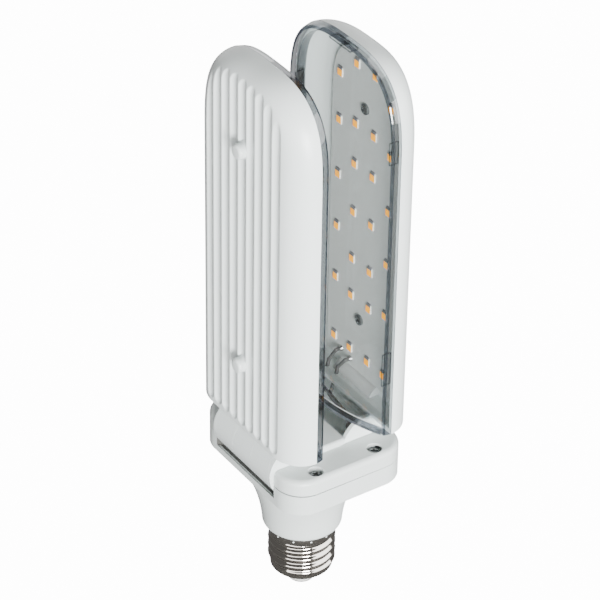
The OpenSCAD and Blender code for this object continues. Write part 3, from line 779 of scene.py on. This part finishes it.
def screwHead(radius, high, long, spin):
    # square grid mapped to a disc; height: shallow dome less a cross of two soft bars;
    # below it the head's side, a flat neck and a plain shank
    line = np.array(screw["lines"]) / screw["lines"][-1]
    line = np.concatenate([-line[:0:-1], line])
    u, v = np.meshgrid(line, line, indexing="ij")
    x = radius * u * np.sqrt(1 - v * v / 2)
    y = radius * v * np.sqrt(1 - u * u / 2)
    far = np.hypot(x, y) / radius
    dome = high - screw["edge"] * far ** 4 - screw["dome"] * far ** 2

    def soft(distance, half, slope):
        # 1 inside, 0 outside and a straight slope between, centred on half
        return np.clip((half + slope / 2 - np.abs(distance)) / slope, 0, 1)

    def bar(a, b):
        # narrow across a and long along b
        return (soft(a, screw["crossWide"] / 2, screw["sideSlope"])
                * soft(b, screw["crossLong"] / 2, screw["endSlope"]))

    sunk = np.maximum(bar(x, y), bar(y, x))
    top = np.stack([x, y, dome - screw["crossDeep"] * sunk], axis=-1)
    n = len(line)
    edge = np.concatenate([top[0, :-1], top[:-1, -1], top[-1, :0:-1], top[:0:-1, 0]])
    foot = edge * [1, 1, 0]
    neck = foot * screw["shank"] / radius
    end = neck - [0, 0, long]
    sides = np.stack([edge, foot, neck, end])
    points, faces = joined([
        (top, quads(n, n)),
        (sides, quads(4, len(edge), loop=True) + [[i + 3 * len(edge) for i in range(len(edge))]])])
    c, s = math.cos(math.radians(spin)), math.sin(math.radians(spin))
    return points @ np.array([[c, s, 0], [-s, c, 0], [0, 0, 1]]), faces


coverParts = []
for i, (sx, sy) in enumerate(((-1, -1), (1, -1), (-1, 1), (1, 1))):
    points, faces = screwHead(screw["headRadius"], screw["headHigh"], screw["shankLong"],
                              screw["spin"] + screw["spinStep"] * i)
    coverParts.append((points + [sx * screw["x"], sy * screw["y"], screw["seat"]], faces))
points, faces = joined(coverParts)
addPiece("coverScrews", points, faces, "hub", steelDark, "cover_screws", sharp=35)
boardParts = []
for i, share in enumerate(peg["heights"]):
    points, faces = screwHead(screw["boardRadius"], screw["boardHigh"], screw["boardLong"],
                              screw["boardSpin"] + screw["boardSpinStep"] * i)
    # laid over so that the head looks towards -x
    boardParts.append((points @ np.array([[0, 0, 1], [0, 1, 0], [-1, 0, 0]])
                       + [led["boardX"], 0, upLeaf(share)], faces))
points, faces = joined(boardParts)
for side, sign in leaves:
    addPiece(side + "BoardScrews", turned(points, sign), faces, side + "_leaf", steelDark,
             side + "_board_screws", sharp=35)
print("screws")

cap = {
    "root": 12.15, "crest": 13.15, "pitch": 3.63, "skirt": capHigh[0], "skirtLow": 24.1,
    "top": capHigh[2], "threadLow": 8.6, "coneTop": 7.5, "lip": capLow[2], "lipRadius": 10.15,
    "hole": 8.75, "wall": 0.4, "steps": 160, "rows": 96,
    "phase": 0.66, "fadeLow": 2.2, "fadeHigh": 1.6, "fadeGap": 0.25, "fullness": 0.85,
    "edge": 0.1, "groove": 0.45, "shoulder": 0.4, "topRound": 0.15, "lipEdge": 0.08,
    "lipRound": (0.3, 0.12, 0.2), "coneRound": (0.25, 0.3), "tuck": 0.02,
}
capDot = {
    "count": 12, "first": 192, "radius": 0.42, "below": 1.9, "steps": 12, "deep": 0.1,
    "dome": ((0.8, 0.05), (0.4, 0.1), (0, 0.12)),      # share of the radius, height
}


def capThread():
    # radius at height z and angle t: a wave of one pitch that climbs with the angle,
    # fading out into the skirt above and the cone below; then rings round the skirt's
    # outside, down its inside and round the turned-in lip
    t = np.arange(cap["steps"]) * 2 * math.pi / cap["steps"]
    low, top, lip, cone = cap["skirtLow"], cap["top"], cap["lip"], cap["coneTop"]
    z = np.linspace(cone, low - cap["edge"], cap["rows"])[:, None]
    wave = 0.5 + 0.5 * np.cos(2 * math.pi * ((z - low) / cap["pitch"] - t / (2 * math.pi)
                                             + cap["phase"]))
    ends = (np.clip((z - cap["threadLow"]) / cap["fadeLow"], 0, 1)
            * np.clip((low - cap["fadeGap"] - z) / cap["fadeHigh"], 0, 1))
    ends = ends * ends * (3 - 2 * ends)
    thread = cap["root"] + (cap["crest"] - cap["root"]) * wave ** cap["fullness"] * ends
    wall, edge, skirt = cap["wall"], cap["edge"], cap["skirt"]
    rootIn, lipRadius, hole = cap["root"] - wall, cap["lipRadius"], cap["hole"]
    lipIn, lipOut, lipHigh = cap["lipRound"]
    coneIn, coneDown = cap["coneRound"]
    rest = np.array([
        (skirt - cap["groove"], low - cap["tuck"]), (skirt - edge, low + edge),
        (skirt, low + cap["shoulder"]), (skirt, top - cap["topRound"]), (skirt - edge, top),
        (skirt - wall, top), (skirt - wall, low + wall), (rootIn, low + wall),
        (rootIn, cone + wall), (lipRadius - wall, lip + wall), (hole, lip + wall),
        (hole, lip + cap["lipEdge"]), (hole + edge, lip), (lipRadius - lipIn, lip),
        (lipRadius + lipOut, lip + lipHigh), (cap["root"] - coneIn, cone - coneDown)])
    radius = np.concatenate([thread, rest[:, :1] * np.ones(len(t))])
    height = np.concatenate([z, rest[:, 1:]]) * np.ones(len(t))
    grid = np.stack([radius * np.cos(t), radius * np.sin(t), height], axis=-1)
    loop = np.concatenate([grid, grid[:1]])
    return loop.reshape(-1, 3), quads(len(loop), cap["steps"], loop=True)


def capDots():
    # small crimp marks just under the neck, as low domes evenly round the skirt
    r = capDot["radius"]
    profile = [(r, -capDot["deep"])] + [(max(share * r, pole), high)
                                        for share, high in capDot["dome"]]
    parts = []
    for i in range(capDot["count"]):
        a = math.radians(capDot["first"] + i * 360 / capDot["count"])
        axis = np.array([math.cos(a), math.sin(a), 0])
        centre = cap["skirt"] * axis + [0, 0, cap["top"] - capDot["below"]]
        parts.append(revolve(profile, centre, axis, capDot["steps"]))
    return joined(parts)


points, faces = capThread()
addPiece("capShell", points, faces, "hub", nickel, "cap_shell", sharp=50)
points, faces = capDots()
addPiece("capDots", points, faces, "hub", white, weld=0)
print("cap")

# CAD nodes that are shown as they are
plain = {
    "cap_insulator": insulator, "centre_contact": contactMetal, "driver_board": green,
    "driver_capacitor": black, "driver_inductor": brown, "driver_bridge": black,
    "driver_fuse": blue, "input_leads": leadRed,
}
for side, sign in leaves:
    plain[side + "_led_board"] = boardGrey
    plain[side + "_wire_guard"] = guardGrey
    plain[side + "_solder"] = tin
    plain[side + "_leads"] = leadBlack
    plain[side + "_sleeve"] = leadBlack
for node, material in plain.items():
    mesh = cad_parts[node].data
    mesh.materials.clear()
    mesh.materials.append(material)
print("plain nodes", len(plain))

hub = {
    "part": coverLow[2], "half": coverHigh[0], "groove": 0.62, "grooveEnd": 0.16, "sill": 61.6,
    "sillInner": 24.5, "sillDrop": 1.1, "sillThin": 0.5, "touch": 0.02,
    "coverEdge": 0.34, "housingEdge": 0.22,
}
# upright and outwards are limits of a face's direction: along x, and along its own radius
well = {"low": 45, "over": 0.2, "halfY": 19.8, "halfX": 25.0, "wallX": 24.4, "upright": 0.95,
        "outwards": 4}


def openGroove(co):
    # the cover's lower face lifted off the housing, with the square of the share of the
    # way across towards two opposite corners
    low = np.abs(co[:, 2] - hub["part"]) < hub["touch"]
    near = np.clip(0.5 + 0.5 * co[:, 0] * np.sign(co[:, 1]) / hub["half"], 0, 1) ** 2
    co[low, 2] += (hub["grooveEnd"] + (hub["groove"] - hub["grooveEnd"]) * near)[low]
    return co


def slopeSill(co):
    # the sill's inner edge lowered and thinned, so that the slot under the drum shows
    inner = ((np.abs(np.abs(co[:, 0]) - hub["sillInner"]) < hub["touch"])
             & (np.abs(co[:, 2] - hub["sill"]) < hub["touch"]))
    co[inner, 2] -= hub["sillDrop"]
    co[inner, 0] += np.sign(co[inner, 0]) * hub["sillThin"]
    return co


def shadedWellFaces(mesh):
    # the well under the drums, given painted shade: faces below the sill, between its walls
    # and not turned outwards; of those over the walls only the upright ones
    centres, normals = np.empty(3 * len(mesh.polygons)), np.empty(3 * len(mesh.polygons))
    mesh.polygons.foreach_get("center", centres)
    mesh.polygons.foreach_get("normal", normals)
    centres, normals = centres.reshape(-1, 3) / mm, normals.reshape(-1, 3)
    x, y, z = np.abs(centres).T
    outwards = (centres * normals)[:, :2].sum(axis=1)
    return ((z > well["low"]) & (z < hub["sill"] + well["over"]) & (y < well["halfY"])
            & (x < well["halfX"]) & (outwards < well["outwards"])
            & ((x < well["wallX"]) | (np.abs(normals[:, 0]) > well["upright"])))


mergedCopy("top_cover", "cover", "hub", hubWhiteShaded, openGroove,
           hub["coverEdge"], segments=3)
housing = mergedCopy("lower_housing", "housing", "hub", hubWhiteShaded, slopeSill,
                     hub["housingEdge"]).data
# the well's faces take the near-black painted shade
housing.materials.append(shade)
inside = shadedWellFaces(housing)
housing.polygons.foreach_set("material_index", inside.astype(int))
print("hub, dark faces", int(inside.sum()))


# metres; a box's numbers are azimuth (degrees), distance, height, its two sides, and watts
light = {
    "floorSize": 8.0, "paperGlow": 14.0, "edgeGlow": 0.7, "paperGrey": 0.12, "sky": 0.17,
    "target": 0.12,
    "boxes": (("keyBox", 69, 1.3, 0.30, 0.50, 0.5, 60),
              ("wingBox", 31, 1.3, 0.30, 1.2, 0.5, 12.5),
              ("rightBox", 126, 1.3, 0.42, 1.9, 0.9, 36),
              ("topBox", 200, 0.25, 1.5, 0.9, 0.9, 7),
              ("backBox", 248, 1.3, 0.40, 1.4, 0.9, 9)),
}
# metres and radians; the lens and the sensor are in millimetres
shot = {
    "eye": (-0.50534, -0.73495, 0.73828), "back": (-0.4664, -0.6817, 0.5637),
    "azimuth": -0.600, "roll": 0.016, "near": 0.01, "lens": 176.83, "sensor": 36.0,
}


def paper():
    # pale floor that glows for the camera, a little through clear edges and nowhere else
    mat = shader("paper", Base_Color=(light["paperGrey"],) * 3, Roughness=0.9,
                 Specular_IOR_Level=0.1)
    tree = mat.node_tree
    path = tree.nodes.new("ShaderNodeLightPath")
    glow = tree.nodes.new("ShaderNodeMath")
    glow.operation = "MULTIPLY"
    glow.inputs[1].default_value = light["paperGlow"]
    tree.links.new(path.outputs["Is Camera Ray"], glow.inputs[0])
    edges = tree.nodes.new("ShaderNodeMath")
    edges.operation = "MULTIPLY_ADD"
    edges.inputs[1].default_value = light["edgeGlow"]
    tree.links.new(path.outputs["Is Transmission Ray"], edges.inputs[0])
    tree.links.new(glow.outputs["Value"], edges.inputs[2])
    node = tree.nodes["Principled BSDF"]
    node.inputs["Emission Color"].default_value = (1, 1, 1, 1)
    tree.links.new(edges.outputs["Value"], node.inputs["Emission Strength"])
    return mat


bpy.ops.mesh.primitive_plane_add(size=light["floorSize"], location=(0, 0, 0))
floor = bpy.context.object
floor.name = "floor"
floor.data.materials.append(paper())


def placed(columns, place):
    # 4 x 4 matrix from three axes and a place
    matrix = np.eye(4)
    matrix[:3, :3], matrix[:3, 3] = np.transpose(columns), place
    return Matrix(matrix.tolist())


def addCamera():
    # looks against the back axis; right is level before both are turned by the roll
    back = np.array(shot["back"]) / np.linalg.norm(shot["back"])
    right = np.array([math.cos(shot["azimuth"]), math.sin(shot["azimuth"]), 0.0])
    up = np.cross(back, right)
    c, s = math.cos(shot["roll"]), math.sin(shot["roll"])
    camera = bpy.data.objects.new("camera", bpy.data.cameras.new("camera"))
    camera.data.sensor_width = shot["sensor"]
    camera.data.lens = shot["lens"]
    camera.data.clip_start = shot["near"]
    camera.matrix_world = placed((c * right + s * up, c * up - s * right, back), shot["eye"])
    bpy.context.scene.collection.objects.link(camera)
    bpy.context.scene.camera = camera


def softbox(name, azimuth, distance, height, wide, high, watts):
    # area light that faces the bulb; azimuth in degrees from -x towards -y
    lamp = bpy.data.lights.new(name, "AREA")
    lamp.shape = "RECTANGLE"
    lamp.size, lamp.size_y = wide, high
    lamp.energy = watts
    turn = math.radians(azimuth)
    place = np.array([-distance * math.cos(turn), -distance * math.sin(turn), height])
    z = place - [0, 0, light["target"]]
    z = z / np.linalg.norm(z)
    x = np.cross([0, 0, 1.0], z)
    x = x / np.linalg.norm(x)
    obj = bpy.data.objects.new(name, lamp)
    obj.matrix_world = placed((x, np.cross(z, x), z), place)
    bpy.context.scene.collection.objects.link(obj)


addCamera()
for box in light["boxes"]:
    softbox(*box)

world = bpy.data.worlds.new("studio")
bpy.context.scene.world = world
world.use_nodes = True
sky = world.node_tree.nodes["Background"]
sky.inputs["Color"].default_value = (1, 1, 1, 1)
sky.inputs["Strength"].default_value = light["sky"]
print("shot")
